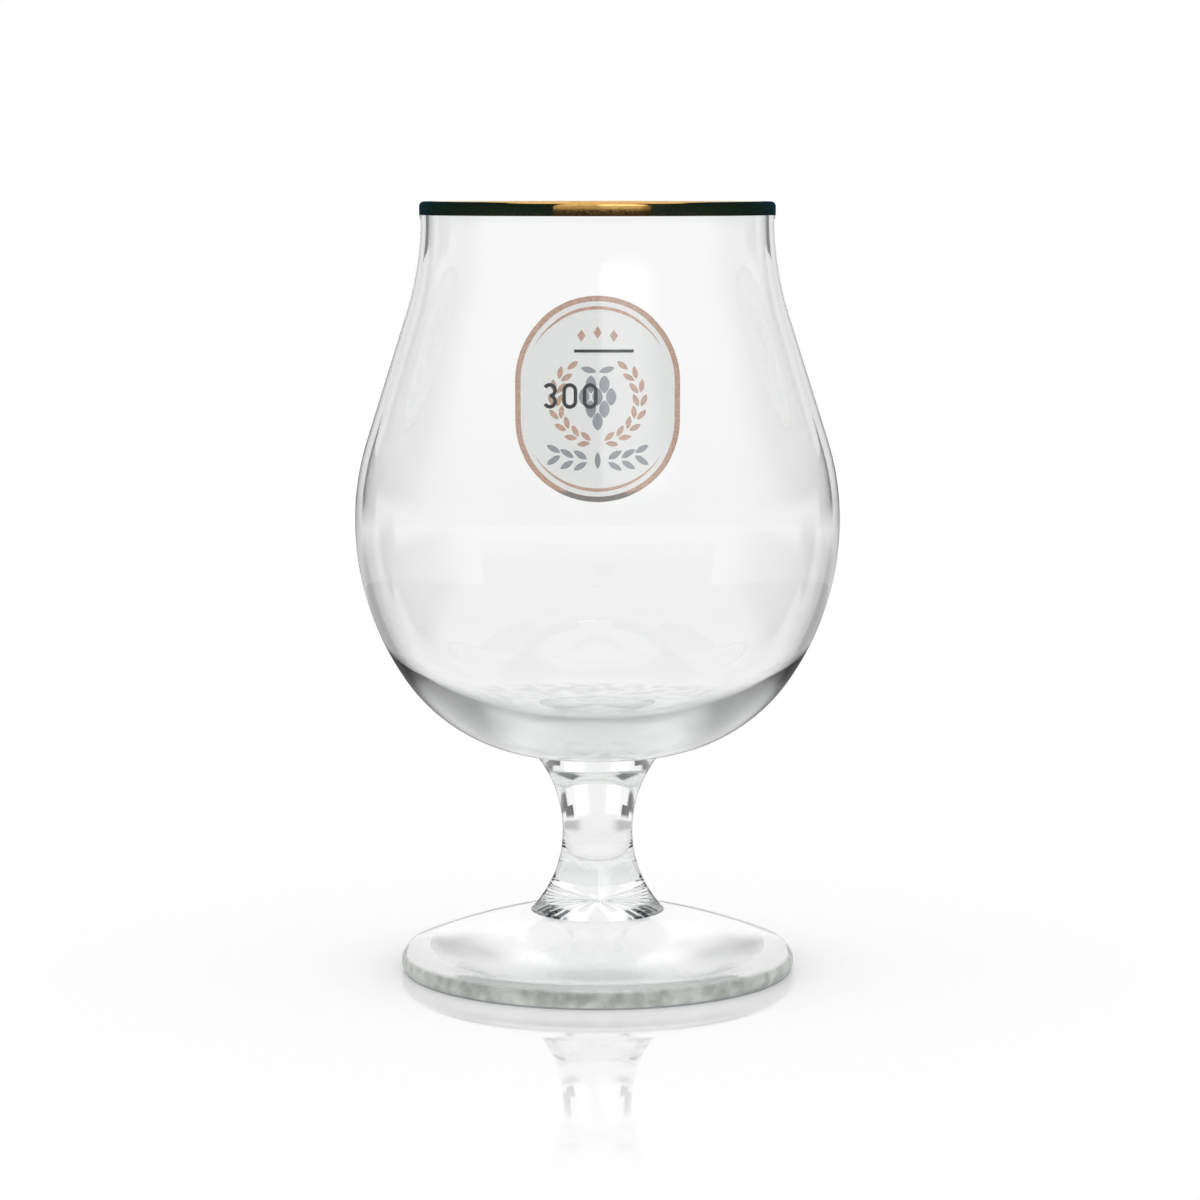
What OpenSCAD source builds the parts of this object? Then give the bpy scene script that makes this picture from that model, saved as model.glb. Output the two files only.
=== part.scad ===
// Balloon beer glass: a blown bowl, a drawn stem and a pressed foot, with a gilded rim,
// an oval printed label and a printed fill mark. Lengths are in millimetres, +Z is up,
// the centre of the base is the origin, and the label faces +Y.

/* [Bowl] */
// Overall height, to the top of the gilded rim
glass_height = 137.5; // [133:0.5:147]
// Outer diameter of the bowl at its widest
belly_d = 86.2; // [80:0.2:90]
// Height of the bowl's widest point
belly_z = 81; // [78:0.2:84]
// Outer diameter of the lip
lip_d = 62.7; // [58:0.1:67]
// Height of the straight lip, above the neck's curve
lip_h = 2.8; // [2:0.1:5]
// Radius of the bowl's curve above its widest point
shoulder_r = 48.4; // [40:0.2:54]
// Radius of the neck's inward curve
neck_r = 56; // [45:0.5:62]
// Radius of the bowl's curve below its widest point
flank_r = 49.6; // [46:0.2:54]
// Radius of the curve under the bowl
bottom_r = 31.8; // [29:0.2:34]
// Thickness of the wall
wall = 1.5; // [1.2:0.1:2.4]
// Thickness of the floor in its middle
floor_t = 4.5; // [3.5:0.5:8]
// Radius of the inside curve between wall and floor
corner_r = 26; // [22:0.5:28]
// Radius of the dished floor
dish_r = 90; // [70:1:120]

/* [Stem] */
// Diameter of the stem where it joins the bowl
stem_top_d = 22.6; // [20:0.2:26]
// Height at which the stem joins the bowl
stem_top_z = 39.2; // [37:0.1:41]
// Diameter of the stem's waist
waist_d = 12.5; // [10:0.1:16]
// Height of the stem's waist
waist_z = 25; // [22:0.2:28]
// Diameter of the stem where it joins the foot
stem_base_d = 24; // [20:0.2:28]
// Height at which the stem joins the foot
stem_base_z = 10.7; // [9:0.1:13]

/* [Foot] */
// Outer diameter of the foot
foot_d = 70.6; // [64:0.2:78]
// Radius of the foot's rounded edge
edge_r = 2.9; // [2.2:0.1:3.4]
// Height of the middle of the rounded edge
edge_z = 1.75; // [1.2:0.05:2]
// Radius of the foot's slightly domed top
foot_top_r = 120; // [90:1:200]
// Diameter of the hollow under the foot
kick_d = 57; // [48:0.5:60]
// Depth of the hollow under the foot
kick_h = 2.6; // [1.5:0.1:3.5]

/* [Gilding and printing] */
// Thickness of the gilding on the rim
gild_t = 0.1; // [0.06:0.01:0.2]
// Height of the gilding outside the rim
gild_out_h = 2.4; // [1.5:0.1:4]
// Height of the gilding inside the rim
gild_in_h = 1.6; // [1.2:0.1:3]
// Thickness of the printed enamel
print_t = 0.1; // [0.06:0.01:0.2]

/* [Label] */
// Width of the label, seen from the front
label_w = 31.8; // [26:0.2:36]
// Length of the label's straight sides
label_side_h = 7.5; // [6:0.1:12]
// Height of the label's middle
label_z = 100.2; // [97:0.2:103]
// Width of the label's gold border
border_w = 1.05; // [0.6:0.05:1.6]
// Gap between the border and the fine lines inside it
line_gap = 0.95; // [0.6:0.05:1.4]
// Thickness of the fine lines in their middle
line_w = 0.65; // [0.4:0.05:0.9]

/* [Fill mark] */
// Height of the fill line
fill_z = 112.7; // [106:0.1:117]
// Length of the fill line
fill_l = 10; // [6:0.5:16]
// Thickness of the fill line
fill_t = 0.5; // [0.3:0.05:0.8]
// Sideways place of the fill line's middle
fill_x = 1.1; // [-4:0.1:4]
// Height of the numerals below the fill line
numeral_h = 4.2; // [3:0.2:5]
// Width of one numeral
numeral_w = 2.5; // [2:0.1:3]
// Thickness of the numerals' strokes
stroke_w = 0.6; // [0.4:0.05:0.7]
// Gap between two numerals
numeral_gap = 0.9; // [0.6:0.1:1.6]
// Distance from the fill line down to the numerals
numeral_drop = 5.3; // [3:0.1:7]
// Sideways place of the numerals' middle
numeral_x = -4.6; // [-6:0.1:4]

/* [Hidden] */
$fn = 180;

// Radii of the turned pieces
belly_r = belly_d / 2;
lip_r = lip_d / 2;
stem_top_r = stem_top_d / 2;
waist_r = waist_d / 2;
stem_base_r = stem_base_d / 2;
foot_r = foot_d / 2;
kick_r = kick_d / 2;
// Longer than any half section is wide or tall
reach = glass_height + belly_d;
// Farthest that a chord of a turned outline lies from its arc
arc_error = 0.02;

// Unit vector at an angle
function unit(angle) = [cos(angle), sin(angle)];
// Angle of the way from a to b
function bearing(a, b) = atan2(b[1] - a[1], b[0] - a[0]);
// Point at distance ra from a and rb from b, to the left of the way from a to b
function meet(a, ra, b, rb) =
    let (gap = norm(b - a))
    let (ahead = (b - a) / gap)
    let (along = (ra * ra - rb * rb + gap * gap) / (2 * gap))
    let (aside = sqrt(ra * ra - along * along))
    a + along * ahead + aside * [-ahead[1], ahead[0]];
// Radius of an arc that leaves one line squarely and ends a rise and a run away
function arc_radius(rise, run) = (rise * rise + run * run) / (2 * run);
// Points of an arc about c from one angle to another, less the first few if skip is set
function arc(c, r, from, to, skip = 0) =
    let (steps = ceil(abs(to - from) / (2 * acos(1 - arc_error / r))))
    [for (i = [skip : steps]) c + r * unit(from + (to - from) * i / steps)];
function reversed(points) = [for (i = [len(points) - 1 : -1 : 0]) points[i]];

// Outer edges of the stem's joints with the bowl and the foot, in the half section
stem_top = [stem_top_r, stem_top_z];
stem_base = [stem_base_r, stem_base_z];
// Middle of the rounded lip, and the top of the neck's curve
lip_c = [lip_r - wall / 2, glass_height - gild_t - wall / 2];
neck_top = glass_height - gild_t - lip_h;
// Share by which fitted arcs stay clear of the limit at which they still touch smoothly
arc_play = 0.02;
// Shoulder and neck are drawn tighter, both alike, where the way from belly to lip is short for them
sweep_room = (1 - arc_play) * arc_radius(neck_top - belly_z, belly_r - lip_r);
sweep_fit = min(1, sweep_room / (shoulder_r + neck_r));
fit_shoulder_r = sweep_fit * shoulder_r;
fit_neck_r = sweep_fit * neck_r;
// The flank is drawn wider where its circle would pass above the stem
fit_flank_r = max(flank_r, (1 + arc_play) * arc_radius(belly_z - stem_top_z, belly_r - stem_top_r));
// Middles of the bowl's outer arcs, in its half section
neck_c = [lip_r + fit_neck_r, neck_top];
shoulder_c = [belly_r - fit_shoulder_r, belly_z];
flank_c = [belly_r - fit_flank_r, belly_z];
bottom_c = meet(flank_c, fit_flank_r - bottom_r, stem_top, bottom_r);
// Slope of the straight stretch that touches both the shoulder and the neck
neck_way = neck_c - shoulder_c;
slope = atan2(neck_way[1], neck_way[0]) - acos((fit_shoulder_r + fit_neck_r) / norm(neck_way));
// Middles of the bowl's inner arcs below its widest point
inner_flank_r = fit_flank_r - wall;
dish_c = [0, stem_top_z + floor_t + dish_r];
corner_c = meet(dish_c, dish_r - corner_r, flank_c, inner_flank_r - corner_r);

// Outline of the bowl above its widest point, upwards, with its surface moved out by grow
function upper_outline(grow, skip = 0) = concat(
    arc(shoulder_c, fit_shoulder_r + grow, 0, slope, skip),
    arc(neck_c, fit_neck_r - grow, 180 + slope, 180),
    [[lip_r + grow, lip_c[1]]]);
// Outline of the whole outside of the bowl, upwards from the stem
function outside(grow) =
    let (flank_end = bearing(flank_c, bottom_c))
    concat(
        arc(bottom_c, bottom_r + grow, bearing(bottom_c, stem_top), flank_end),
        arc(flank_c, fit_flank_r + grow, flank_end, 0, 1),
        upper_outline(grow, 1));
// Outline of the inside of the bowl below its widest point, down to the middle of its floor
function floor_outline() =
    let (wall_end = bearing(flank_c, corner_c))
    let (corner_end = bearing(dish_c, corner_c))
    concat(
        arc(flank_c, inner_flank_r, 0, wall_end, 1),
        arc(corner_c, corner_r, wall_end, corner_end, 1),
        arc(dish_c, dish_r, corner_end, -90, 1));
// Closed outline of a skin on a surface, from the outlines of its two faces
function skin(outer, inner) = concat(outer, reversed(inner));

module bowl() {
    inner_side = reversed(upper_outline(-wall));
    color([0.86, 0.9, 0.9, 0.4]) rotate_extrude() polygon(concat(
        outside(0),
        arc(lip_c, wall / 2, 0, 180, 1),
        [for (i = [1 : len(inner_side) - 1]) inner_side[i]],
        floor_outline(),
        [[0, stem_top_z]]));
}

// Outline of the stem from its waist to a joint above or below it
function stem_flare(joint, skip = 0) =
    let (flare_r = arc_radius(joint[1] - waist_z, joint[0] - waist_r))
    let (flare_c = [waist_r + flare_r, waist_z])
    let (joint_angle = bearing(flare_c, joint))
    arc(flare_c, flare_r, 180, joint_angle < 0 ? joint_angle + 360 : joint_angle, skip);

module stem() {
    color([0.84, 0.88, 0.88, 0.5]) rotate_extrude() polygon(concat(
        [[0, stem_base_z]],
        reversed(stem_flare(stem_base)),
        stem_flare(stem_top, 1),
        [[0, stem_top_z]]));
}

module foot() {
    edge_c = [foot_r - edge_r, edge_z];
    top_c = meet(edge_c, foot_top_r - edge_r, stem_base, foot_top_r);
    top_start = bearing(top_c, edge_c);
    kick_arc_r = arc_radius(kick_r, kick_h);
    kick_c = [0, kick_h - kick_arc_r];
    color([0.82, 0.87, 0.85, 0.5]) rotate_extrude() polygon(concat(
        arc(kick_c, kick_arc_r, 90, bearing(kick_c, [kick_r, 0])),
        arc(edge_c, edge_r, -asin(edge_z / edge_r), top_start),
        arc(top_c, foot_top_r, top_start, bearing(top_c, stem_base), 1),
        [[0, stem_base_z]]));
}

// Part of a half section above a height
module above(low) {
    intersection() {
        children();
        translate([0, low]) square(reach);
    }
}

module rim_gilding() {
    color([0.79, 0.6, 0.32]) rotate_extrude() {
        above(glass_height - gild_out_h) polygon(skin(upper_outline(gild_t), upper_outline(0)));
        above(glass_height - gild_in_h) polygon(skin(upper_outline(-wall), upper_outline(-wall - gild_t)));
        polygon(skin(arc(lip_c, wall / 2 + gild_t, 0, 180), arc(lip_c, wall / 2, 0, 180)));
    }
}

// Enamel on the outside of the bowl, in the shape of a flat outline seen squarely
// from one side: turn 0 prints on the -Y side, and turn 180 on the +Y side
module printed(turn, height) {
    intersection() {
        rotate_extrude() polygon(skin(outside(print_t), outside(0)));
        rotate([90, 0, turn]) translate([0, height]) linear_extrude(belly_d) children();
    }
}

// Label, drawn on a grid of which ten units reach from its middle to its border
label_r = label_w / 2;
label_inner_r = label_r - border_w;
grid = label_inner_r / 10;
// How far the fine lines run to each side of the label's upright middle line
line_angle = 62;
// Barley ears curve round the hop cone in a wreath
wreath_r = 5.5 * grid;
ear_start = -72;
ear_end = 54;
ear_pairs = 7;
grain = [1.75, 0.72] * grid;
grain_tilt = 24;
grain_offset = 0.52 * grid;
// Hop cone of pointed scales in staggered rows
hop_rows = [2, 3, 2, 1];
hop_scale = [2.3, 1.36] * grid;
hop_pitch = [1.76, 1.6] * grid;
hop_leaf = [2.1, 0.8] * grid;
hop_leaf_tilt = 15;
hop_top = 2 * grid;
// Spray of leaves below the wreath
spray_y = -label_side_h / 2 - 5.3 * grid;
spray_pairs = 3;
spray_leaf = [2.05, 0.78] * grid;
spray_tilt = 30;
spray_pitch = 1.75 * grid;
spray_start = 1.05 * grid;
spray_lift = 0.2 * grid;
// Row of lozenges above the wreath
lozenge = [1.1, 1.6] * grid;
lozenge_pitch = 2.1 * grid;
lozenge_y = label_side_h / 2 + 6.1 * grid;

// Leaf shape with two pointed ends, along X
module leaf(size) {
    r = (size[0] * size[0] + size[1] * size[1]) / (4 * size[1]);
    intersection() {
        translate([0, r - size[1] / 2]) circle(r);
        translate([0, size[1] / 2 - r]) circle(r);
    }
}

// Both a shape and its mirror image across the label's upright middle line
module both_sides() {
    for (flip = [0, 1]) mirror([flip, 0]) children();
}

// Upright outline with half-round ends of radius r on straight sides
module capsule(r, side_h) {
    translate([-r, -side_h / 2]) square([2 * r, side_h]);
    for (flip = [0, 1]) mirror([0, flip]) intersection() {
        translate([0, side_h / 2]) circle(r);
        translate([-reach / 2, side_h / 2]) square(reach);
    }
}

// Fine line that follows the label's upper end and tapers to points
module accent_line() {
    outer_r = label_inner_r - line_gap;
    half_span = outer_r * sin(line_angle);
    rise = outer_r * (1 - cos(line_angle));
    inner_r = arc_radius(half_span, rise - line_w);
    translate([0, label_side_h / 2]) difference() {
        circle(outer_r);
        translate([0, outer_r - line_w - inner_r]) circle(inner_r);
    }
}

// One ear of barley, up the right side of the wreath
module barley_ear() {
    for (i = [0 : ear_pairs - 1], side = [-1, 1]) {
        angle = ear_start + (ear_end - ear_start) * i / ear_pairs;
        rotate(angle) translate([wreath_r + side * grain_offset, 0])
            rotate(90 - side * grain_tilt) leaf(grain);
    }
    rotate(ear_end) translate([wreath_r, 0]) rotate(90) leaf(grain);
}

module barley_outline() {
    both_sides() barley_ear();
}

module hop_outline() {
    for (row = [0 : len(hop_rows) - 1], i = [0 : hop_rows[row] - 1]) {
        x = (i - (hop_rows[row] - 1) / 2) * hop_pitch[0];
        translate([x, hop_top - row * hop_pitch[1]]) rotate(90) leaf(hop_scale);
    }
    both_sides() translate([0, hop_top + hop_scale[0] / 2 + hop_leaf[1] / 2]) rotate(hop_leaf_tilt)
        translate([hop_leaf[0] / 2 + hop_leaf[1] / 4, 0]) leaf(hop_leaf);
}

module leaves_outline() {
    translate([0, spray_y]) rotate(90) leaf(spray_leaf);
    both_sides() for (i = [0 : spray_pairs - 1], side = [-1, 1]) {
        translate([spray_start + i * spray_pitch, spray_y + i * i * spray_lift]) rotate(side * spray_tilt)
            translate([spray_leaf[0] / 2 + spray_leaf[1] / 2, 0]) leaf(spray_leaf);
    }
}

module lozenges_outline() {
    for (i = [-1 : 1]) translate([i * lozenge_pitch, lozenge_y - abs(i) * lozenge[1] / 4])
        polygon([[lozenge[0] / 2, 0], [0, lozenge[1] / 2], [-lozenge[0] / 2, 0], [0, -lozenge[1] / 2]]);
}

module label_ground() {
    color([0.84, 0.85, 0.84, 0.8]) printed(180, label_z) difference() {
        capsule(label_inner_r, label_side_h);
        accent_line();
        mirror([0, 1]) accent_line();
        barley_outline();
        hop_outline();
        leaves_outline();
        lozenges_outline();
    }
}

module label_border() {
    color([0.78, 0.62, 0.48]) printed(180, label_z) difference() {
        capsule(label_r, label_side_h);
        capsule(label_inner_r, label_side_h);
    }
}

module label_upper_line() {
    color([0.78, 0.62, 0.5]) printed(180, label_z) accent_line();
}

module label_lower_line() {
    color([0.78, 0.62, 0.5]) printed(180, label_z) mirror([0, 1]) accent_line();
}

module label_barley() {
    color([0.72, 0.54, 0.38]) printed(180, label_z) barley_outline();
}

module label_hop_cone() {
    color([0.5, 0.53, 0.56]) printed(180, label_z) hop_outline();
}

module label_leaves() {
    color([0.56, 0.58, 0.61]) printed(180, label_z) leaves_outline();
}

module label_lozenges() {
    color([0.76, 0.6, 0.46]) printed(180, label_z) lozenges_outline();
}

module fill_line() {
    color([0.12, 0.2, 0.19]) printed(0, fill_z)
        translate([fill_x, 0]) square([fill_l, fill_t], center = true);
}

// Numeral nought, in strokes of one thickness
module nought() {
    difference() {
        capsule(numeral_w / 2, numeral_h - numeral_w);
        capsule(numeral_w / 2 - stroke_w, numeral_h - numeral_w);
    }
}

// Numeral three: two open rings, one on top of the other, that share a stroke
module three() {
    ring_r = (numeral_h + stroke_w) / 4;
    open_from = 150;
    open_to = 270;
    gap = [for (angle = [open_from, (open_from + open_to) / 2, open_to]) reach * unit(angle)];
    ring_c = [numeral_w / 2 - ring_r, numeral_h / 2 - ring_r];
    for (flip = [0, 1]) mirror([0, flip]) translate(ring_c) difference() {
        circle(ring_r);
        circle(ring_r - stroke_w);
        polygon(concat([[0, 0]], gap));
    }
}

module fill_numerals() {
    pitch = numeral_w + numeral_gap;
    color([0.12, 0.2, 0.19]) printed(0, fill_z - numeral_drop - numeral_h / 2) translate([numeral_x, 0]) {
        translate([-pitch, 0]) three();
        nought();
        translate([pitch, 0]) nought();
    }
}

bowl();
stem();
foot();
rim_gilding();
label_ground();
label_border();
label_upper_line();
label_lower_line();
label_barley();
label_hop_cone();
label_leaves();
label_lozenges();
fill_line();
fill_numerals();
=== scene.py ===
"""Looks of the balloon beer glass: clear glass, gilded rim, enamel label and fill mark, on a glossy table."""

import functools
import math
from collections import namedtuple

import bpy
import numpy as np
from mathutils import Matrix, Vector


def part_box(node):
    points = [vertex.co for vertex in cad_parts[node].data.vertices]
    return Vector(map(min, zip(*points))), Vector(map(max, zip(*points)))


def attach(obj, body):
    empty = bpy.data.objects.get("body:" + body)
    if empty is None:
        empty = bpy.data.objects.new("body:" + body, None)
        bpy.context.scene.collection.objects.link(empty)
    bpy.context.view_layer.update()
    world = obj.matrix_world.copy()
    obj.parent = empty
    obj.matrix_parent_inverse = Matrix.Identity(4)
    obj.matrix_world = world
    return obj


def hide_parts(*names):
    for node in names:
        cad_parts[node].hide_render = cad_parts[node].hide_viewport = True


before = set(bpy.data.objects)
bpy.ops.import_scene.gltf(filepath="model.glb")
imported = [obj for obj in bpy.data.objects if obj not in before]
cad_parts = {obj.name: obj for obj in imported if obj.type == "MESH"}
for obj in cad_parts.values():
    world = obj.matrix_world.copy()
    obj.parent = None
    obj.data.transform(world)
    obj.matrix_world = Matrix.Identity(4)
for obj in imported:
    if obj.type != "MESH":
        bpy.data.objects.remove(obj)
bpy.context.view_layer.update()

MM = 0.001

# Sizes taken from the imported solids
GLASS_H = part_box("rim_gilding")[1].z
GILD_LOW_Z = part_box("rim_gilding")[0].z
STEM_BASE_Z, STEM_TOP_Z = (corner.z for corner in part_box("stem"))
LABEL_LOW_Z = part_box("label_border")[0].z

# Sizes of the turned outlines, as in the solids
BELLY_R = 43.1 * MM
BELLY_Z = 81 * MM
LIP_R = 31.35 * MM
LIP_H = 2.8 * MM
SHOULDER_R = 48.4 * MM
NECK_R = 56 * MM
FLANK_R = 49.6 * MM
BOTTOM_R = 31.8 * MM
WALL = 1.5 * MM
FLOOR_T = 4.5 * MM
CORNER_R = 26 * MM
DISH_R = 90 * MM
STEM_TOP_R = 11.3 * MM
WAIST_R = 6.25 * MM
WAIST_Z = 25 * MM
STEM_BASE_R = 12 * MM
FOOT_R = 35.3 * MM
EDGE_R = 2.9 * MM
EDGE_Z = 1.75 * MM
FOOT_TOP_R = 120 * MM
KICK_R = 28.5 * MM
KICK_H = 2.6 * MM
GILD_IN_H = 1.6 * MM
# Thickness of the gold and of the prints
FILM_T = 0.1 * MM
# Hairline gap between the stem's ends and its neighbours
JOINT_GAP = 0.01 * MM
# Air film between the glass and the inner face of gold and enamel, wider than the solids' facets are deep
FILM_GAP = 0.04 * MM

# Fineness of the meshes: sides of a turned piece, the longest turn between two points of an arc, steps and
# points of straight stretches, and degrees between two edges of a curved sheet
SIDES = 288
ARC_STEP = math.radians(1.2)
CONE_STEPS = 8
LIP_STEPS = 4
GILD_OUT_POINTS = 5
GILD_IN_POINTS = 4
SHEET_STEP = 3
# A radius that counts as none, the angle from which an edge stays sharp, and how squarely a face of a print
# has to look along the bowl's own normal to be shaded by it
ON_AXIS = 1e-9
SHARP_ANGLE = math.radians(30)
FACE_ON = 0.7

# Glass: light that it takes up per metre, the colour that it leaves, and the tint and haze of plain surfaces
GLASS_IOR = 1.52
BOWL_DENSITY = 3.0
FOOT_DENSITY = 1.5
DEPTH_COLOUR = (0.0, 0.12, 0.03)
BOWL_TINT = (0.985, 0.99, 0.987)
STEM_TINT = (0.97, 0.975, 0.971)
FOOT_TINT = (0.99, 0.993, 0.991)
BOWL_HAZE = 0.0
STEM_HAZE = 0.03
FOOT_HAZE = 0.1

# Waves that the glass keeps from the mould, each with its length and depth
BOWL_WAVES = (14 * MM, 0.01 * MM)
THICK_WAVES = (10 * MM, 0.015 * MM)
GATHER_WAVES = (3 * MM, 0.06 * MM)
STEM_WAVES = (5 * MM, 0.04 * MM)
FOOT_WAVES = (12 * MM, 0.015 * MM)
SIDE_WAVES = (2.5 * MM, 0.06 * MM)
WAVE_STRETCH = (1, 1, 1.6)
WAVE_DETAIL = 1.0

# Mottled glass: features of its noise per metre, and the values of the noise at its two colours
MOTTLE_GRAIN = 1 / (3 * MM)
MOTTLE_STOPS = (0.38, 0.62)

# Thick bottom of the bowl, and the gather that the stem was drawn from: the heights over which each ends
THICK_RISE = (STEM_TOP_Z + 6 * MM, STEM_TOP_Z + 16 * MM)
THICK_HAZE = 0.14
GATHER_RISE = (STEM_TOP_Z + 3 * MM, STEM_TOP_Z + 5 * MM)
# The gather's mottling, darkened with painted shade where the bowl meets the stem
GATHER_SHADE_MOTTLE = (0.62, 0.64, 0.62)

# Rays of the shears' scar under the stem
SCAR_RAYS = 11
SCAR_DEPTH = 0.12 * MM
SCAR_RISE = (STEM_BASE_Z + 0.2 * MM, STEM_BASE_Z + 1.5 * MM)
# Dark stripes of painted shade at two sides of the scar: how many, the wave's values at their edge, their
# place on the stem, and the sines of the turns from the front or the back at which they begin and end
STRIPES = 3 * SCAR_RAYS
STRIPE_EDGE = (-0.8, -0.2)
STRIPE_RISE = (STEM_BASE_Z + 0.1 * MM, STEM_BASE_Z + 0.6 * MM)
STRIPE_INNER = (0.5 * STEM_BASE_R, 0.65 * STEM_BASE_R)
STRIPE_BEGIN = (0.4, 0.6)
STRIPE_END = (0.94, 0.99)
STRIPE_SHADE_TINT = (0.16, 0.17, 0.19)

# Mottled side of the foot, darkened with painted shade, and a painted contact shadow as a dark line at its
# base
SIDE_INNER = (FOOT_R - 2 * MM, FOOT_R - MM)
SIDE_RISE = (EDGE_Z + MM, EDGE_Z + 2 * MM)
SIDE_MOTTLE_SHADE = ((0.24, 0.26, 0.23), (0.56, 0.58, 0.54))
SIDE_DETAIL = 5.0
SIDE_HAZE = 0.4
CONTACT_SHADOW_RISE = (0.225 * MM, 0.45 * MM)
CONTACT_SHADOW_TINT = (0.15, 0.16, 0.18)

# Values between which noise mostly lies
NOISE_SPAN = (0.3, 0.7)

# Fired gold: dark and light colour, least and most roughness, and features of its grain per metre
RIM_GOLD = ((0.62, 0.36, 0.105), (0.86, 0.52, 0.175))
RIM_HAZE = (0.05, 0.14)
LABEL_GOLD = ((0.4, 0.21, 0.13), (0.6, 0.36, 0.25))
LABEL_HAZE = (0.15, 0.35)
GOLD_GRAIN = 900
GOLD_STRETCH = (1, 1, 4)
GOLD_HAZE_GRAIN = 2600
GOLD_RELIEF = 0.004 * MM
# Painted dark reflection on the gold at the label's lower end: its colour, its middle height, and half the
# height over which it begins
DARK_REFLECTION_GOLD = (0.13, 0.11, 0.1)
DARK_REFLECTION_Z = LABEL_LOW_Z + 2 * MM
DARK_REFLECTION_H = 0.5 * MM
DARK_REFLECTION_GRAIN = 500

# Fired enamel: dark and light colour, least and most roughness, and features of its screen per metre
PALE_ENAMEL = ((0.8, 0.8, 0.8), (0.88, 0.88, 0.88))
GREY_ENAMEL = ((0.16, 0.18, 0.22), (0.24, 0.26, 0.3))
DARK_ENAMEL = ((0.006, 0.014, 0.013), (0.014, 0.026, 0.024))
ENAMEL_HAZE = (0.3, 0.5)
DARK_HAZE = (0.25, 0.45)
ENAMEL_COAT = 0.3
ENAMEL_COAT_HAZE = 0.15
SCREEN_GRAIN = 3200
SCREEN_DETAIL = 2.0
SCREEN_STOPS = (0.35, 0.65)
SCREEN_RELIEF = 0.01 * MM
ENAMEL_HAZE_GRAIN = 1200
# Share of their relief that gold and enamel show
FILM_BUMP = 0.2

# Camera, from the outline of the glass in the photograph
CAMERA_DISTANCE = 636 * MM
CAMERA_X = 0.45 * MM
CAMERA_Z = 139.6 * MM
CAMERA_PITCH = math.radians(6.54)
CAMERA_LENS = 107.47

# Upright curved sheets round the glass: middle and width are turns in degrees from the +Y side. Some come in
# pairs, -1 to the left and 1 to the right
BOTH_SIDES = (-1, 1)
Card = namedtuple("Card", "radius middle width low high")
BACKDROP = Card(radius=900 * MM, middle=0, width=50, low=-500 * MM, high=500 * MM)
SIDE_CARD = Card(radius=880 * MM, middle=80, width=90, low=20 * MM, high=650 * MM)
STEM_CARD = Card(radius=870 * MM, middle=40, width=20, low=0, high=160 * MM)
TOP_CARD = Card(radius=880 * MM, middle=100, width=60, low=1000 * MM, high=2200 * MM)
ROOM_WALL = Card(radius=1200 * MM, middle=180, width=330, low=-750 * MM, high=100 * MM)
SHROUD = Card(radius=75 * MM, middle=90, width=100, low=60 * MM, high=260 * MM)
VEIL = Card(radius=950 * MM, middle=158, width=44, low=200 * MM, high=1300 * MM)
COLLAR_R = 45 * MM
COLLAR_LOW = GLASS_H - 3.3 * MM
COLLAR_HIGH = GLASS_H + 47.5 * MM
COLLAR_RIGHT = Card(radius=COLLAR_R, middle=99, width=118, low=COLLAR_LOW, high=COLLAR_HIGH)
COLLAR_LEFT = Card(radius=COLLAR_R, middle=259, width=122, low=COLLAR_LOW, high=COLLAR_HIGH)
GLINT_HIGH = GLASS_H + 8.5 * MM
GLINT_LEFT = Card(radius=COLLAR_R, middle=188.5, width=19, low=COLLAR_LOW, high=GLINT_HIGH)
GLINT_RIGHT = Card(radius=COLLAR_R, middle=168.5, width=21, low=COLLAR_LOW, high=GLINT_HIGH)

# Shades of the sheets: colours, levels of light, and the turns and heights over which a level changes
WHITE = (1, 1, 1)
TOP_SHADE = (0.1, 0.11, 0.13)
GOLD_SHADE = (0.008, 0.033, 0.065)
DIM = 0.4
UNLIT = 0.02
BACKDROP_GREY = 0.92
BACKDROP_WHITE = 0.97
BACKDROP_RISE = (-20 * MM, 100 * MM)
BACKDROP_SIDE_LEVEL = 0.25
BACKDROP_SIDE_TURN = (6, 13)
BACKDROP_SIDE_RISE = (0, 80 * MM)
SIDE_CARD_DARK = 0.03
SIDE_CARD_BEGIN = (36, 46)
SIDE_CARD_END = (70, 120)
SIDE_CARD_RISE = (50 * MM, 160 * MM)
SIDE_CARD_TOP = (330 * MM, 600 * MM)
STEM_CARD_DARK = 0.11
STEM_CARD_RISE = (0, 60 * MM)
WALL_FRONT = (45, 115)
WALL_LOW_LEVEL = 0.3
WALL_RISE = (-350 * MM, 100 * MM)
WALL_DIM_RISE = (-150 * MM, 50 * MM)
SHROUD_FRONT = (80, 135)
SHROUD_DIM_RISE = (60 * MM, 85 * MM)
GLINT_SIDE_LEVEL = 0.3
GLINT_TURN = (158, 164)
GLINT_LOW_LEVEL = 0.04
GLINT_LEFT_LEVEL = 0.62
GLINT_RIGHT_LEVEL = 0.82
GLINT_RISE = (GLASS_H - 1.6 * MM, GLASS_H - 0.9 * MM)
VEIL_LEVEL = 2.0
VEIL_BEGIN = (136, 158)
VEIL_END = (176, 180)
VEIL_RISE = (250 * MM, 450 * MM)

# Table: its size, and its colour, shine and light by distance from the axis
TABLE_R = 850 * MM
TABLE_COLOUR = (0.97, 0.97, 0.97)
TABLE_HAZE = 0.02
SHINE = 0.62
SHINE_FACING = (0.5, 0.75)
FOOT_SHINE = 0.3
FOOT_SHINE_SPAN = (36 * MM, 54 * MM)
# Painted light: the table glows under the foot over this span, so the foot looks lighter
FOOT_GLOW = 0.6
FOOT_GLOW_SPAN = (24 * MM, 34 * MM)
WHITE_SPAN = (40 * MM, 145 * MM)
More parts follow.
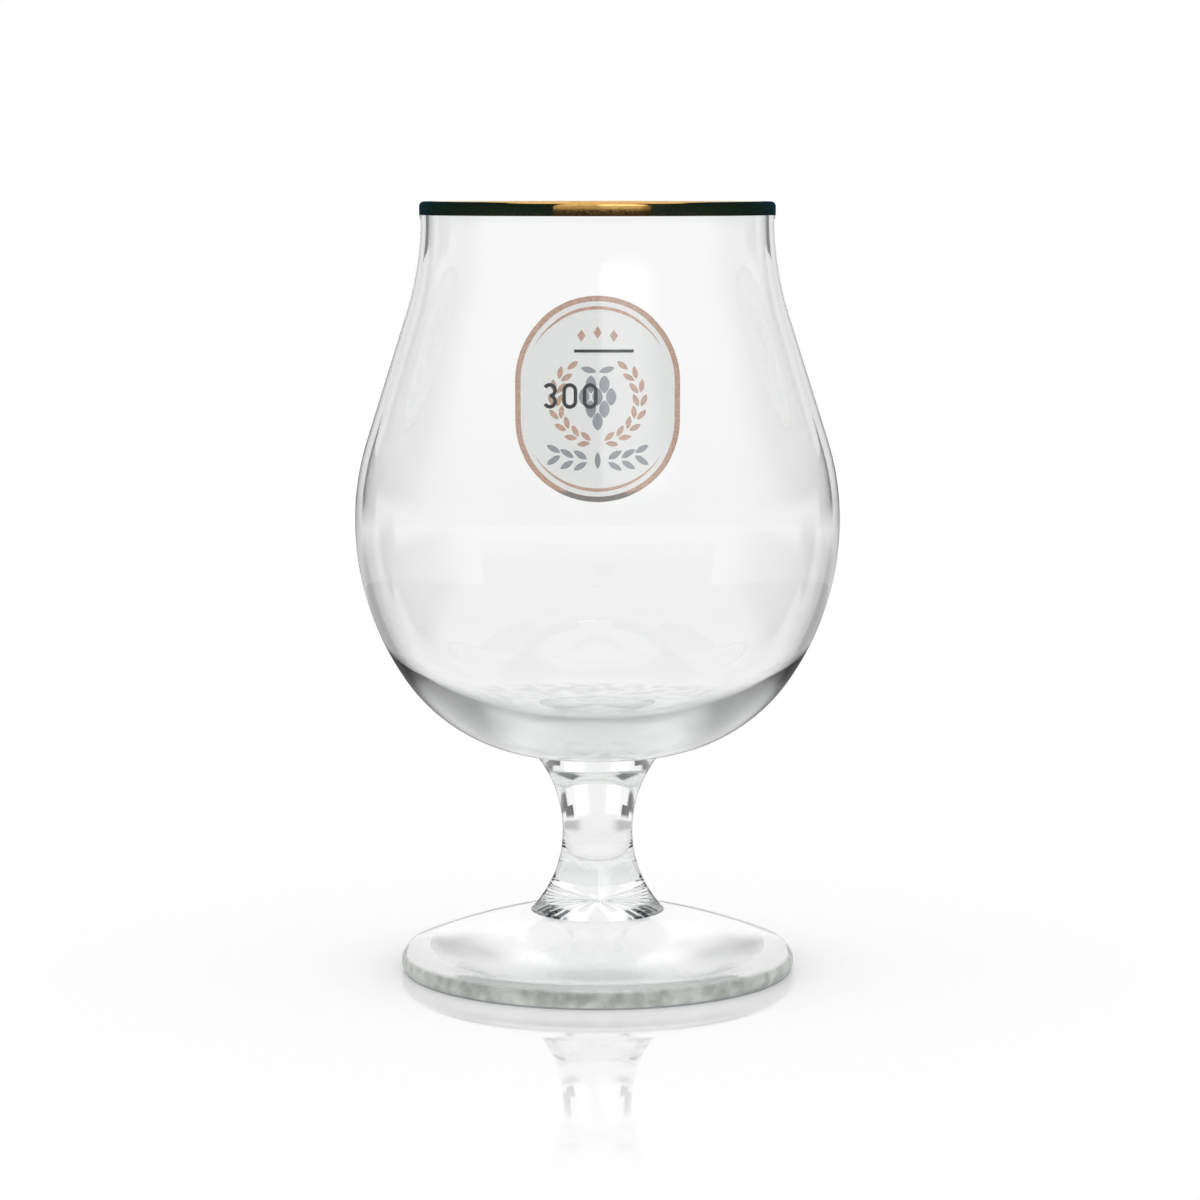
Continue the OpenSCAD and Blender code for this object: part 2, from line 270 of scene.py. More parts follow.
# Painted shade on the table where it is seen through the glass: how much darker it is all round, less under
# the foot, and more to the sides
AROUND_NEAR = 0.085
AROUND_FAR = 0.05
AROUND_SPAN = (150 * MM, 800 * MM)
UNDER_FOOT = 0.2
UNDER_FOOT_SPAN = (34 * MM, 60 * MM)
ASIDE_DARK = 0.4
ASIDE_BEGIN = (13, 30)
ASIDE_END = (55, 80)
ASIDE_NEAR = (100 * MM, 200 * MM)
ASIDE_FAR = (400 * MM, 800 * MM)
# Painted shade on the table in reflections: how much darker it is there, and how much of that is lost further
# out
MIRROR_DARK = 0.85
MIRROR_NEAR = (60 * MM, 150 * MM)
MIRROR_LOSS = 0.4
MIRROR_FAR = (350 * MM, 500 * MM)

# The most times that light passes through glass, and that it is reflected
GLASS_BOUNCES = 32
MIRROR_BOUNCES = 16


# Outlines of the half section, as lists of (radius, height)

def polar(centre, radius, angle):
    return (centre[0] + radius * math.cos(angle), centre[1] + radius * math.sin(angle))


def bearing(start, end):
    return math.atan2(end[1] - start[1], end[0] - start[0])


def meet(first, first_radius, second, second_radius):
    """Point at these distances from two points, to the left of the way from the first to the second."""
    gap = math.dist(first, second)
    along = (first_radius**2 - second_radius**2 + gap**2) / (2 * gap)
    aside = math.sqrt(first_radius**2 - along**2)
    ahead = ((second[0] - first[0]) / gap, (second[1] - first[1]) / gap)
    return (first[0] + along * ahead[0] - aside * ahead[1], first[1] + along * ahead[1] + aside * ahead[0])


def arc_radius(rise, run):
    """Radius of an arc that leaves one line squarely and ends a rise and a run away."""
    return (rise**2 + run**2) / (2 * run)


def arc(centre, radius, start, end):
    steps = max(2, math.ceil(abs(end - start) / ARC_STEP))
    return [polar(centre, radius, start + (end - start) * i / steps) for i in range(steps + 1)]


def upright(radius, start, end, points):
    return [(radius, height) for height in np.linspace(start, end, points)]


stem_top = (STEM_TOP_R, STEM_TOP_Z)
stem_base = (STEM_BASE_R, STEM_BASE_Z)
lip_centre = (LIP_R - WALL / 2, GLASS_H - FILM_T - WALL / 2)
neck_centre = (LIP_R + NECK_R, GLASS_H - FILM_T - LIP_H)
shoulder_centre = (BELLY_R - SHOULDER_R, BELLY_Z)
flank_centre = (BELLY_R - FLANK_R, BELLY_Z)
bottom_centre = meet(flank_centre, FLANK_R - BOTTOM_R, stem_top, BOTTOM_R)
dish_centre = (0, STEM_TOP_Z + FLOOR_T + DISH_R)
corner_centre = meet(dish_centre, DISH_R - CORNER_R, flank_centre, FLANK_R - WALL - CORNER_R)
cone_turn = math.acos((SHOULDER_R + NECK_R) / math.dist(shoulder_centre, neck_centre))
slope = bearing(shoulder_centre, neck_centre) - cone_turn


def upper_outline(grow):
    """Outline of the bowl above its widest point, upwards, with its surface moved out by grow."""
    shoulder = arc(shoulder_centre, SHOULDER_R + grow, 0, slope)
    neck = arc(neck_centre, NECK_R - grow, math.pi + slope, math.pi)
    cone = [tuple(point) for point in np.linspace(shoulder[-1], neck[0], CONE_STEPS + 1)[1:-1]]
    straight = upright(LIP_R + grow, neck_centre[1], lip_centre[1], LIP_STEPS + 1)
    return shoulder + cone + neck + straight[1:]


def outer_outline():
    """Outline of the outside of the bowl, upwards from the stem."""
    flank_end = bearing(flank_centre, bottom_centre)
    bottom = arc(bottom_centre, BOTTOM_R, bearing(bottom_centre, stem_top), flank_end)
    flank = arc(flank_centre, FLANK_R, flank_end, 0)
    return bottom + flank[1:] + upper_outline(0)[1:]


def inner_outline():
    """Outline of the inside of the bowl, down from the lip to the middle of the floor."""
    wall_end = bearing(flank_centre, corner_centre)
    corner_end = bearing(dish_centre, corner_centre)
    flank = arc(flank_centre, FLANK_R - WALL, 0, wall_end)
    corner = arc(corner_centre, CORNER_R, wall_end, corner_end)
    dish = arc(dish_centre, DISH_R, corner_end, -math.pi / 2)
    return upper_outline(-WALL)[::-1] + flank[1:] + corner[1:] + dish[1:]


def stem_flare(joint):
    """Outline of the stem from its waist to just short of a joint above or below it."""
    end = (joint[0], joint[1] - math.copysign(JOINT_GAP, joint[1] - WAIST_Z))
    radius = arc_radius(end[1] - WAIST_Z, end[0] - WAIST_R)
    centre = (WAIST_R + radius, WAIST_Z)
    return arc(centre, radius, math.pi, bearing(centre, end) % (2 * math.pi))


def foot_outline():
    """Outline of the foot from the middle of its hollow out, round its edge and in to the stem."""
    edge_centre = (FOOT_R - EDGE_R, EDGE_Z)
    top_centre = meet(edge_centre, FOOT_TOP_R - EDGE_R, stem_base, FOOT_TOP_R)
    kick_radius = arc_radius(KICK_R, KICK_H)
    kick_centre = (0, KICK_H - kick_radius)
    edge_end = bearing(top_centre, edge_centre)
    hollow = arc(kick_centre, kick_radius, math.pi / 2, bearing(kick_centre, (KICK_R, 0)))
    edge = arc(edge_centre, EDGE_R, -math.asin(EDGE_Z / EDGE_R), edge_end)
    top = arc(top_centre, FOOT_TOP_R, edge_end, bearing(top_centre, stem_base))
    return hollow + edge + top[1:]


def gilding_outline():
    """Closed outline of the gold film over the lip."""
    lip_z = lip_centre[1]
    in_low = GLASS_H - GILD_IN_H
    outer = upright(LIP_R + FILM_T, GILD_LOW_Z, lip_z, GILD_OUT_POINTS)
    over = arc(lip_centre, WALL / 2 + FILM_T, 0, math.pi)
    inner = upright(LIP_R - WALL - FILM_T, lip_z, in_low, GILD_IN_POINTS)
    back_in = upright(LIP_R - WALL - FILM_GAP, in_low, lip_z, GILD_IN_POINTS)
    under = arc(lip_centre, WALL / 2 + FILM_GAP, math.pi, 0)
    back_out = upright(LIP_R + FILM_GAP, lip_z, GILD_LOW_Z, GILD_OUT_POINTS)
    return outer + over[1:] + inner[1:] + back_in + under[1:] + back_out[1:]


# Meshes

def new_piece(mesh, material, node):
    """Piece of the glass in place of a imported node, named as its mesh is."""
    piece = bpy.data.objects.new(mesh.name, mesh)
    bpy.context.scene.collection.objects.link(piece)
    mesh.materials.append(material)
    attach(piece, "root")
    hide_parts(node)


def turned(name, outline, closed=False):
    """Mesh of an outline turned about Z. An open outline starts and ends on the axis."""
    verts, rings = [], []
    for radius, height in outline:
        if radius < ON_AXIS:
            rings.append([len(verts)])
            verts.append((0, 0, height))
            continue
        rings.append(list(range(len(verts), len(verts) + SIDES)))
        verts += [polar((0, 0), radius, 2 * math.pi * k / SIDES) + (height,) for k in range(SIDES)]
    faces = []
    last = len(rings) if closed else len(rings) - 1
    for i in range(last):
        low, high = rings[i], rings[(i + 1) % len(rings)]
        for k in range(SIDES):
            lower = (low[k % len(low)], low[(k + 1) % len(low)])
            upper = (high[(k + 1) % len(high)], high[k % len(high)])
            faces.append(list(dict.fromkeys(lower + upper)))
    mesh = bpy.data.meshes.new(name)
    mesh.from_pydata(verts, [], faces)
    mesh.polygons.foreach_set("use_smooth", [True] * len(faces))
    mesh.set_sharp_from_angle(angle=SHARP_ANGLE)
    mesh.update()
    return mesh


def printed(node, surface):
    """Mesh of a printed node whose inner face clears the glass, shaded along the bowl's own curve."""
    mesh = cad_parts[node].data.copy()
    mesh.name = node + "_film"
    mesh.materials.clear()
    radii, heights = np.array(surface).T
    slopes = np.gradient(radii, heights)
    normals = []
    for vert in mesh.vertices:
        radius = math.hypot(vert.co.x, vert.co.y)
        lean = -float(np.interp(vert.co.z, heights, slopes))
        normal = Vector((vert.co.x / radius, vert.co.y / radius, lean)).normalized()
        normals.append(normal)
        if radius - float(np.interp(vert.co.z, heights, radii)) < FILM_T / 2:
            vert.co += normal * FILM_GAP
    mesh.update()
    shading = []
    for face in mesh.polygons:
        for i in face.vertices:
            facing = face.normal.dot(normals[i])
            along = normals[i] * math.copysign(1, facing)
            shading.append(along if abs(facing) > FACE_ON else face.normal.copy())
    mesh.polygons.foreach_set("use_smooth", [True] * len(mesh.polygons))
    mesh.normals_split_custom_set(shading)
    return mesh


# Nodes of a material

def shader(name, **values):
    """Material with one Principled shader, and that shader's node."""
    material = bpy.data.materials.new(name)
    material.use_nodes = True
    node = material.node_tree.nodes["Principled BSDF"]
    for socket, value in values.items():
        node.inputs[socket.replace("_", " ")].default_value = value
    return material, node


def unlit(name, colour):
    """Material that glows in one colour, whatever the light on it."""
    material = bpy.data.materials.new(name)
    material.use_nodes = True
    nodes = material.node_tree.nodes
    nodes.remove(nodes["Principled BSDF"])
    glow = nodes.new("ShaderNodeEmission")
    glow.inputs["Color"].default_value = (*colour, 1)
    link(material, glow.outputs["Emission"], nodes["Material Output"].inputs["Surface"])
    return material


def link(material, output, target):
    material.node_tree.links.new(output, target)


def grain(material, scale, detail=4.0, stretch=(1, 1, 1)):
    """Noise in the object's own coordinates, in features per metre."""
    nodes = material.node_tree.nodes
    coords = nodes.new("ShaderNodeTexCoord")
    mapping = nodes.new("ShaderNodeMapping")
    mapping.inputs["Scale"].default_value = stretch
    texture = nodes.new("ShaderNodeTexNoise")
    texture.inputs["Scale"].default_value = scale
    texture.inputs["Detail"].default_value = detail
    link(material, coords.outputs["Object"], mapping.inputs["Vector"])
    link(material, mapping.outputs["Vector"], texture.inputs["Vector"])
    return texture.outputs["Fac"]


def ramp(material, value, stops, colours):
    """Colour that runs from one colour to another as a value runs between two stops."""
    node = material.node_tree.nodes.new("ShaderNodeValToRGB")
    for element, stop, colour in zip(node.color_ramp.elements, stops, colours):
        element.position = stop
        element.color = (*colour, 1)
    link(material, value, node.inputs["Fac"])
    return node.outputs["Color"]


def map_range(material, value, span, before, after, manner):
    node = material.node_tree.nodes.new("ShaderNodeMapRange")
    node.interpolation_type = manner
    for socket, number in zip(("From Min", "From Max", "To Min", "To Max"), (*span, before, after)):
        node.inputs[socket].default_value = number
    link(material, value, node.inputs["Value"])
    return node.outputs["Result"]


def fade(material, value, span, before, after):
    """Value within a span turned smoothly into before to after."""
    return map_range(material, value, span, before, after, "SMOOTHSTEP")


def spread(material, noise, low, high):
    """Noise spread evenly from low to high."""
    return map_range(material, noise, NOISE_SPAN, low, high, "LINEAR")


def math_node(material, operation, *values):
    """Result of an operation on one or two values, each a number or another node's output."""
    node = material.node_tree.nodes.new("ShaderNodeMath")
    node.operation = operation
    for socket, value in zip(node.inputs, values):
        if isinstance(value, (int, float)):
            socket.default_value = value
        else:
            link(material, value, socket)
    return node.outputs["Value"]


def product(material, *values):
    return functools.reduce(functools.partial(math_node, material, "MULTIPLY"), values)


def total(material, *values):
    return functools.reduce(functools.partial(math_node, material, "ADD"), values)


def blend(material, share, before, after):
    """Colour from before to after, each a colour or another node's output."""
    node = material.node_tree.nodes.new("ShaderNodeMix")
    node.data_type = "RGBA"
    link(material, share, node.inputs["Factor"])
    for socket, colour in (("A", before), ("B", after)):
        if isinstance(colour, tuple):
            node.inputs[socket].default_value = (*colour, 1)
        else:
            link(material, colour, node.inputs[socket])
    return node.outputs["Result"]


def mixed_shaders(material, share, before, after):
    node = material.node_tree.nodes.new("ShaderNodeMixShader")
    for output, target in zip((share, before, after), node.inputs):
        link(material, output, target)
    return node.outputs["Shader"]


def bump(material, shading, relief, height=MM, strength=1.0):
    """Relief in units of a height, by default in millimetres."""
    node = material.node_tree.nodes.new("ShaderNodeBump")
    node.inputs["Distance"].default_value = height
    node.inputs["Strength"].default_value = strength
    link(material, relief, node.inputs["Height"])
    link(material, node.outputs["Normal"], shading.inputs["Normal"])


def spot(material):
    """Turn about the axis from the +Y side in radians, distance from the axis and height of a place."""
    nodes = material.node_tree.nodes
    coords = nodes.new("ShaderNodeTexCoord")
    split = nodes.new("ShaderNodeSeparateXYZ")
    link(material, coords.outputs["Object"], split.inputs["Vector"])
    x, y, z = (split.outputs[axis] for axis in "XYZ")
    squares = [product(material, side, side) for side in (x, y)]
    radius = math_node(material, "SQRT", total(material, *squares))
    return math_node(material, "ARCTAN2", x, y), radius, z


def stage_spot(material):
    """As spot, with the turn in degrees, whichever way round."""
    turn, distance, height = spot(material)
    return math_node(material, "DEGREES", math_node(material, "ABSOLUTE", turn)), distance, height


# Materials of the glass

def clear_glass(name, tint, haze, density):
    """Soda-lime glass that takes up a little of the light on its way through."""
    surface = {"Base_Color": (*tint, 1), "Roughness": haze, "IOR": GLASS_IOR, "Transmission_Weight": 1.0}
    material, shading = shader(name, **surface)
    nodes = material.node_tree.nodes
    depth = nodes.new("ShaderNodeVolumeAbsorption")
    depth.inputs["Color"].default_value = (*DEPTH_COLOUR, 1)
    depth.inputs["Density"].default_value = density
    link(material, depth.outputs["Volume"], nodes["Material Output"].inputs["Volume"])
    return material, shading


def waves(material, length_and_depth, share=1.0):
    """Faint waves that a surface keeps from the mould, in millimetres of height."""
    length, depth = length_and_depth
    noise = grain(material, 1 / length, WAVE_DETAIL, WAVE_STRETCH)
    return product(material, noise, depth / MM, share)


def blown_glass():
    """Smooth above, hazier and wavier where the wall thickens, mottled and darkened with painted shade where
    the stem was drawn out.
    """
    material, shading = clear_glass("blown_glass", BOWL_TINT, BOWL_HAZE, BOWL_DENSITY)
    _, _, height = spot(material)
    thick = fade(material, height, THICK_RISE, 1.0, 0.0)
    gather = fade(material, height, GATHER_RISE, 1.0, 0.0)
    link(material, product(material, thick, THICK_HAZE), shading.inputs["Roughness"])
    mottled = ramp(material, grain(material, MOTTLE_GRAIN), MOTTLE_STOPS, (GATHER_SHADE_MOTTLE, BOWL_TINT))
    link(material, blend(material, gather, BOWL_TINT, mottled), shading.inputs["Base Color"])
    relief = total(
        material,
        waves(material, BOWL_WAVES),
        waves(material, THICK_WAVES, thick),
        waves(material, GATHER_WAVES, gather),
    )
    bump(material, shading, relief)
    return material


def drawn_glass():
    """Wavy, with the rays of the shears' scar at the foot, and painted shade in dark, metallic stripes at two
    sides of it.
    """
    material, shading = clear_glass("drawn_glass", STEM_TINT, STEM_HAZE, BOWL_DENSITY)
    turn, radius, height = spot(material)
    scar = fade(material, height, SCAR_RISE, SCAR_DEPTH / MM, 0.0)
    rays = math_node(material, "COSINE", product(material, turn, SCAR_RAYS))
    stripes = math_node(material, "COSINE", product(material, turn, STRIPES))
    aside = math_node(material, "ABSOLUTE", math_node(material, "SINE", turn))
    stripe_shade = product(
        material,
        fade(material, aside, STRIPE_BEGIN, 0.0, 1.0),
        fade(material, aside, STRIPE_END, 1.0, 0.0),
        fade(material, stripes, STRIPE_EDGE, 0.0, 1.0),
        fade(material, height, STRIPE_RISE, 1.0, 0.0),
        fade(material, radius, STRIPE_INNER, 0.0, 1.0),
    )
    # Painted shade: dark, metallic stripes at two sides of the scar
    link(material, blend(material, stripe_shade, STEM_TINT, STRIPE_SHADE_TINT), shading.inputs["Base Color"])
    link(material, stripe_shade, shading.inputs["Metallic"])
    bump(material, shading, total(material, product(material, rays, scar), waves(material, STEM_WAVES)))
    return material


def pressed_glass():
    """Smooth on top and underneath, mottled, hazy and darkened with painted shade round its side, with a
    painted contact shadow as a dark line below.
    """
    material, shading = clear_glass("pressed_glass", FOOT_TINT, FOOT_HAZE, FOOT_DENSITY)
    _, radius, height = spot(material)
    outer = fade(material, radius, SIDE_INNER, 0.0, 1.0)
    side = product(material, outer, fade(material, height, SIDE_RISE, 1.0, 0.0))
    # Painted contact shadow: a dark line at the bottom of the side
    contact_shadow = product(material, outer, fade(material, height, CONTACT_SHADOW_RISE, 1.0, 0.0))
    # The side's mottling, darkened with painted shade
    mottled = ramp(material, grain(material, MOTTLE_GRAIN, SIDE_DETAIL), MOTTLE_STOPS, SIDE_MOTTLE_SHADE)
    colour = blend(material, side, FOOT_TINT, mottled)
    link(material, blend(material, contact_shadow, colour, CONTACT_SHADOW_TINT), shading.inputs["Base Color"])
    link(material, fade(material, side, (0.0, 1.0), FOOT_HAZE, SIDE_HAZE), shading.inputs["Roughness"])
    bump(material, shading, total(material, waves(material, FOOT_WAVES), waves(material, SIDE_WAVES, side)))
    return material


def gold(name, colours, haze, dark_reflection_below=None):
    """Fired gold: a burnished metal film with a faint brush grain, and a painted dark reflection in brown
    below a height.
    """
    material, shading = shader(name, Metallic=1.0)
    film = grain(material, GOLD_GRAIN, stretch=GOLD_STRETCH)
    colour = ramp(material, film, NOISE_SPAN, colours)
    if dark_reflection_below:
        # Painted reflection: the gold turns dark brown below a height, over a patchy edge
        _, _, height = spot(material)
        patchy = total(material, height, spread(material, grain(material, DARK_REFLECTION_GRAIN), -DARK_REFLECTION_H, DARK_REFLECTION_H))
        bright_gold_share = fade(material, patchy, (dark_reflection_below - DARK_REFLECTION_H, dark_reflection_below + DARK_REFLECTION_H), 0.0, 1.0)
        colour = blend(material, bright_gold_share, DARK_REFLECTION_GOLD, colour)
    link(material, colour, shading.inputs["Base Color"])
    link(material, spread(material, grain(material, GOLD_HAZE_GRAIN), *haze), shading.inputs["Roughness"])
    bump(material, shading, film, GOLD_RELIEF, FILM_BUMP)
    return material


def enamel(name, colours, haze):
    """Fired enamel: printed through a fine screen, so thinner and thicker in tiny dots."""
    material, shading = shader(name, Coat_Weight=ENAMEL_COAT, Coat_Roughness=ENAMEL_COAT_HAZE)
    screen = grain(material, SCREEN_GRAIN, SCREEN_DETAIL)
    link(material, ramp(material, screen, SCREEN_STOPS, colours), shading.inputs["Base Color"])
    link(material, spread(material, grain(material, ENAMEL_HAZE_GRAIN), *haze), shading.inputs["Roughness"])
    bump(material, shading, screen, SCREEN_RELIEF, FILM_BUMP)
    return material


# Studio

def sheet(name, card, through, colour=WHITE, side=1):
    """Upright curved sheet round the glass, out of the camera's sight. It shows only through glass, or only
    in reflections. A side of -1 puts it on the left. Returns its material."""
    steps = max(2, math.ceil(card.width / SHEET_STEP))
    verts, faces = [], []
    for i in range(steps + 1):
        turn = math.radians(side * card.middle - card.width / 2 + card.width * i / steps)
        across, ahead = card.radius * math.sin(turn), card.radius * math.cos(turn)
        verts += [(across, ahead, height) for height in (card.low, card.high)]
    for i in range(steps):
        faces.append((2 * i, 2 * i + 2, 2 * i + 3, 2 * i + 1))
    mesh = bpy.data.meshes.new(name)
    mesh.from_pydata(verts, [], faces)
    material = unlit(name, colour)
    mesh.materials.append(material)
    surface = bpy.data.objects.new(name, mesh)
    bpy.context.scene.collection.objects.link(surface)
    surface.visible_camera = surface.visible_diffuse = surface.visible_shadow = False
    surface.visible_transmission = through
    surface.visible_glossy = not through
    return material


def set_glow(material, strength):
    link(material, strength, material.node_tree.nodes["Emission"].inputs["Strength"])


def backdrop():
    """Sheet behind the glass, seen through it: white, a little brighter at the sides and greyer low down."""
    material = sheet("backdrop", BACKDROP, through=True)
    turn, _, height = stage_spot(material)
    level = fade(material, height, BACKDROP_RISE, BACKDROP_GREY, BACKDROP_WHITE)
    beside = fade(material, turn, BACKDROP_SIDE_TURN, 0.0, BACKDROP_SIDE_LEVEL)
    high = fade(material, height, BACKDROP_SIDE_RISE, 0.0, 1.0)
    set_glow(material, total(material, level, product(material, beside, high)))


def edge_cards():
    """Dark cards beside the backdrop, which draw the edges of the thick glass."""
    for side in BOTH_SIDES:
        material = sheet(f"side_card_{side}", SIDE_CARD, through=True, side=side)
        turn, _, height = stage_spot(material)
        dark = product(
            material,
            fade(material, turn, SIDE_CARD_BEGIN, 0.0, 1.0),
            fade(material, turn, SIDE_CARD_END, 1.0, 0.0),
            fade(material, height, SIDE_CARD_RISE, 0.0, 1.0),
            fade(material, height, SIDE_CARD_TOP, 1.0, 0.0),
        )
        set_glow(material, fade(material, dark, (0.0, 1.0), 1.0, SIDE_CARD_DARK))
        material = sheet(f"stem_card_{side}", STEM_CARD, through=True, side=side)
        _, _, height = stage_spot(material)
        set_glow(material, fade(material, height, STEM_CARD_RISE, BACKDROP_GREY, STEM_CARD_DARK))
        sheet(f"top_card_{side}", TOP_CARD, through=True, colour=TOP_SHADE, side=side)


def room_wall():
    """The unlit sides of the room, seen in reflections."""
    material = sheet("room_wall", ROOM_WALL, through=False)
    turn, _, height = stage_spot(material)
    front = fade(material, turn, WALL_FRONT, 0.0, 1.0)
    lit = product(material, front, fade(material, height, WALL_RISE, WALL_LOW_LEVEL, 1.0))
    low = fade(material, height, WALL_DIM_RISE, DIM, UNLIT)
    set_glow(material, math_node(material, "MAXIMUM", lit, low))


def shrouds():
    """Dark sheets close beside the bowl, which draw its outline in reflections."""
    for side in BOTH_SIDES:
        material = sheet(f"shroud_{side}", SHROUD, through=False, side=side)
        turn, _, height = stage_spot(material)
        front = fade(material, turn, SHROUD_FRONT, UNLIT, 1.0)
        low = fade(material, height, SHROUD_DIM_RISE, DIM, UNLIT)
        set_glow(material, math_node(material, "MAXIMUM", front, low))


def collars():
    """Dark sheets close round the gilded lip, and the light between them that makes the gold glint."""
    sheet("collar_right", COLLAR_RIGHT, through=False, colour=GOLD_SHADE)
    sheet("collar_left", COLLAR_LEFT, through=False, colour=GOLD_SHADE)
    glints = (("glint_left", GLINT_LEFT, GLINT_LEFT_LEVEL), ("glint_right", GLINT_RIGHT, GLINT_RIGHT_LEVEL))
    for name, card, level in glints:
        material = sheet(name, card, through=False)
        turn, _, height = stage_spot(material)
        across = fade(material, turn, GLINT_TURN, GLINT_SIDE_LEVEL, 1.0)
        up = fade(material, height, GLINT_RISE, GLINT_LOW_LEVEL, level)
        set_glow(material, product(material, across, up))


def veil():
    """Bright sheet in front, whose soft reflection lies on the bowl beside its middle."""
    material = sheet("veil_card", VEIL, through=False)
    turn, _, height = stage_spot(material)
    glow = product(
        material,
        fade(material, turn, VEIL_BEGIN, 0.0, 1.0),
        fade(material, turn, VEIL_END, 1.0, 0.0),
        fade(material, height, VEIL_RISE, 0.0, VEIL_LEVEL),
    )
    set_glow(material, total(material, glow, 1.0))


def table_top():
    """Round white lacquered table."""
    rim = [polar((0, 0), TABLE_R, 2 * math.pi * k / SIDES) + (0,) for k in range(SIDES)]
    faces = [(0, k + 1, (k + 1) % SIDES + 1) for k in range(SIDES)]
    mesh = bpy.data.meshes.new("table_top")
    mesh.from_pydata([(0, 0, 0)] + rim, [], faces)
    top = bpy.data.objects.new("table_top", mesh)
    bpy.context.scene.collection.objects.link(top)
    material = unlit("white_table", WHITE)
    mesh.materials.append(material)
    turn, distance, _ = stage_spot(material)
    table_glow(material, turn, distance)
    table_lacquer(material, distance)


def table_glow(material, turn, distance):
    """White of the background, with painted shade that makes it a little greyer than that through the glass
    and in reflections.
    """
    path = material.node_tree.nodes.new("ShaderNodeLightPath")
    in_glass = path.outputs["Is Transmission Ray"]
    in_gloss = math_node(material, "SUBTRACT", path.outputs["Is Glossy Ray"], in_glass)
    around = product(
        material,
        fade(material, distance, UNDER_FOOT_SPAN, UNDER_FOOT, 1.0),
        fade(material, distance, AROUND_SPAN, AROUND_NEAR, AROUND_FAR),
    )
    aside = product(
        material,
        fade(material, turn, ASIDE_BEGIN, 0.0, ASIDE_DARK),
        fade(material, turn, ASIDE_END, 1.0, 0.0),
        fade(material, distance, ASIDE_NEAR, 0.0, 1.0),
        fade(material, distance, ASIDE_FAR, 1.0, 0.0),
    )
    beyond = total(
        material,
        fade(material, distance, MIRROR_NEAR, 0.0, MIRROR_DARK),
        fade(material, distance, MIRROR_FAR, 0.0, -MIRROR_LOSS),
    )
    # Painted shade through the glass and in reflections
    through = product(material, in_glass, total(material, around, aside))
    mirrored = product(material, in_gloss, beyond)
    darkness = math_node(material, "MAXIMUM", through, mirrored)
    set_glow(material, math_node(material, "SUBTRACT", 1.0, darkness))


def table_lacquer(material, distance):
    """Shine and shading near the glass, with a painted glow under the foot, which fade into the glow of the
    white background further out.
    """
    nodes = material.node_tree.nodes
    diffuse = nodes.new("ShaderNodeBsdfDiffuse")
    diffuse.inputs["Color"].default_value = (*TABLE_COLOUR, 1)
    gloss = nodes.new("ShaderNodeBsdfGlossy")
    gloss.inputs["Color"].default_value = (*WHITE, 1)
    gloss.inputs["Roughness"].default_value = TABLE_HAZE
    facing = nodes.new("ShaderNodeLayerWeight")
    shine = fade(material, facing.outputs["Facing"], SHINE_FACING, 0.0, SHINE)
    near = fade(material, distance, FOOT_SHINE_SPAN, FOOT_SHINE, 1.0)
    # Painted light: glow under the foot
    under = fade(material, distance, FOOT_GLOW_SPAN, FOOT_GLOW, 0.0)
    away = fade(material, distance, WHITE_SPAN, 0.0, 1.0)
    share = product(material, shine, near)
    lacquer = mixed_shaders(material, share, diffuse.outputs["BSDF"], gloss.outputs["BSDF"])
    share = math_node(material, "MAXIMUM", under, away)
    surface = mixed_shaders(material, share, lacquer, nodes["Emission"].outputs["Emission"])
    link(material, surface, nodes["Material Output"].inputs["Surface"])


def white_world():
    """Plain white all round, which lights the glass evenly."""
    world = bpy.data.worlds.new("white_studio")
    world.use_nodes = True
    world.node_tree.nodes["Background"].inputs["Color"].default_value = (*WHITE, 1)
    bpy.context.scene.world = world


def camera():
    data = bpy.data.cameras.new("camera")
    data.lens = CAMERA_LENS
    eye = bpy.data.objects.new("camera", data)
    bpy.context.scene.collection.objects.link(eye)
    eye.location = (CAMERA_X, -CAMERA_DISTANCE, CAMERA_Z)
    eye.rotation_euler = (math.pi / 2 - CAMERA_PITCH, 0, 0)
    bpy.context.scene.camera = eye


# The glass

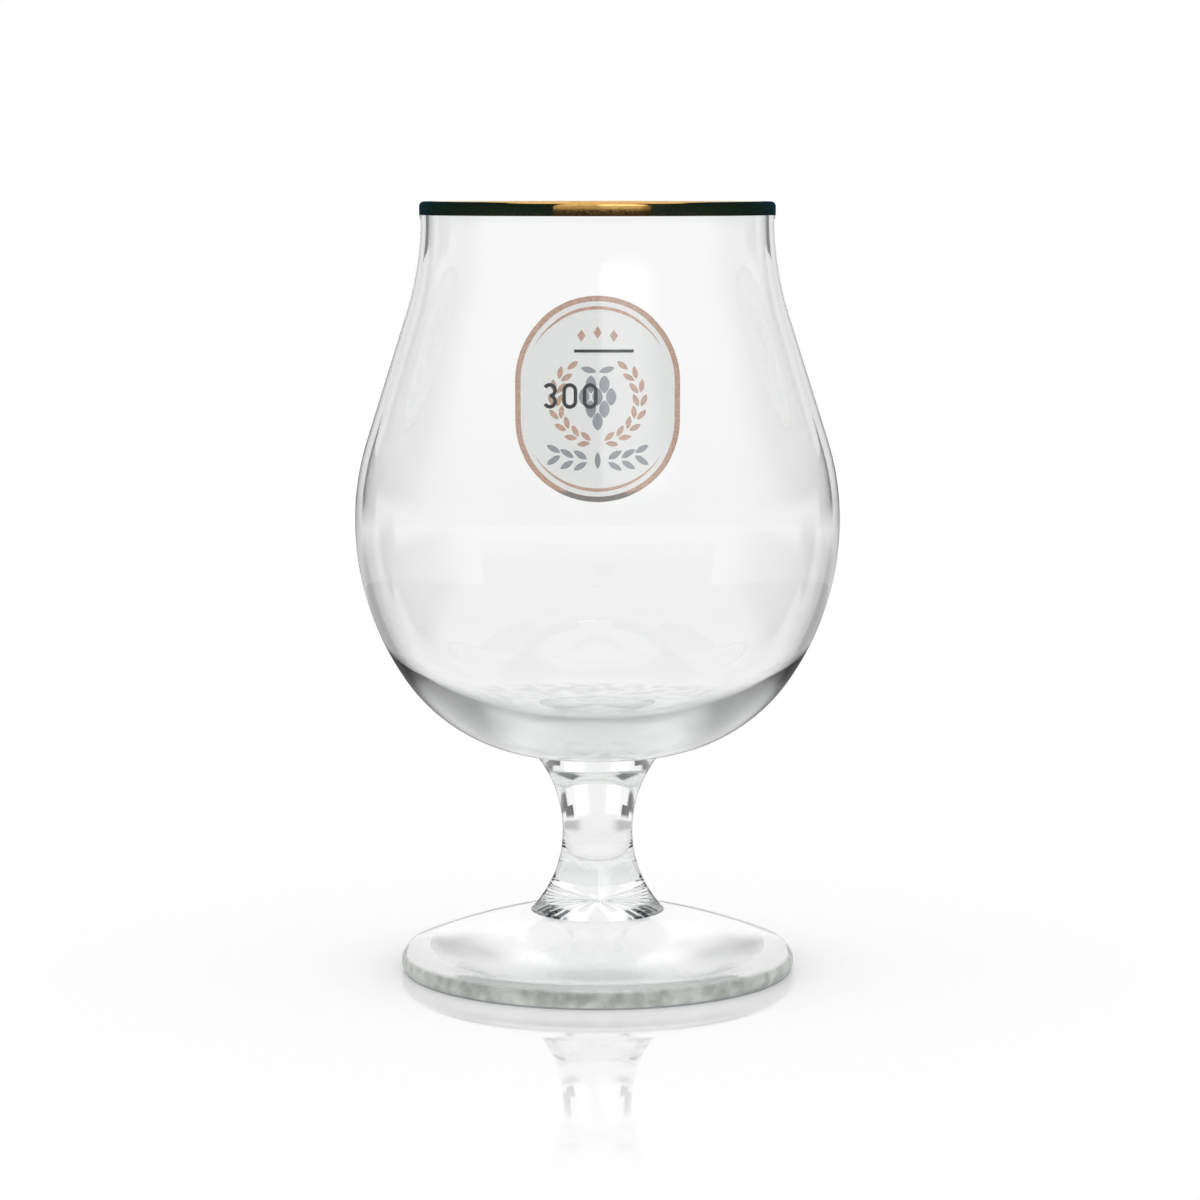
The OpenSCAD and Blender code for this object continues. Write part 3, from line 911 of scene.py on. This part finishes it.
outside = outer_outline()
lip = arc(lip_centre, WALL / 2, 0, math.pi)
bowl_outline = [(0, STEM_TOP_Z)] + outside + lip[1:-1] + inner_outline()
new_piece(turned("bowl_glass", bowl_outline), blown_glass(), "bowl")

stem_side = stem_flare(stem_base)[::-1] + stem_flare(stem_top)[1:]
stem_outline = [(0, STEM_BASE_Z + JOINT_GAP)] + stem_side + [(0, STEM_TOP_Z - JOINT_GAP)]
new_piece(turned("stem_glass", stem_outline), drawn_glass(), "stem")

foot_side = foot_outline() + [(0, STEM_BASE_Z)]
new_piece(turned("foot_glass", foot_side), pressed_glass(), "foot")

# Gilding over the lip, and the prints

rim_gold = gold("rim_gold", RIM_GOLD, RIM_HAZE)
label_gold = gold("label_gold", LABEL_GOLD, LABEL_HAZE)
# The border's lower end carries a painted dark reflection
border_gold = gold("border_gold", LABEL_GOLD, LABEL_HAZE, dark_reflection_below=DARK_REFLECTION_Z)
pale = enamel("pale_enamel", PALE_ENAMEL, ENAMEL_HAZE)
grey = enamel("grey_enamel", GREY_ENAMEL, ENAMEL_HAZE)
dark = enamel("dark_enamel", DARK_ENAMEL, DARK_HAZE)

new_piece(turned("rim_gilding_film", gilding_outline(), closed=True), rim_gold, "rim_gilding")
PRINTS = (
    (border_gold, "printed_gold", ("label_border",)),
    (label_gold, "printed_gold", ("label_upper_line", "label_lower_line", "label_barley", "label_lozenges")),
    (pale, "pale_enamel", ("label_ground",)),
    (grey, "grey_enamel", ("label_hop_cone", "label_leaves")),
    (dark, "dark_enamel", ("fill_line", "fill_numerals")),
)
for material, slot, nodes in PRINTS:
    for node in nodes:
        new_piece(printed(node, outside), material, node)

# Table, light and camera

table_top()
white_world()
backdrop()
edge_cards()
room_wall()
shrouds()
collars()
veil()
camera()

scene = bpy.context.scene
scene.view_settings.view_transform = "Standard"
scene.cycles.max_bounces = GLASS_BOUNCES
scene.cycles.transmission_bounces = GLASS_BOUNCES
scene.cycles.glossy_bounces = MIRROR_BOUNCES
# Reflections keep their sharpness, however often the light was scattered before
scene.cycles.blur_glossy = 0
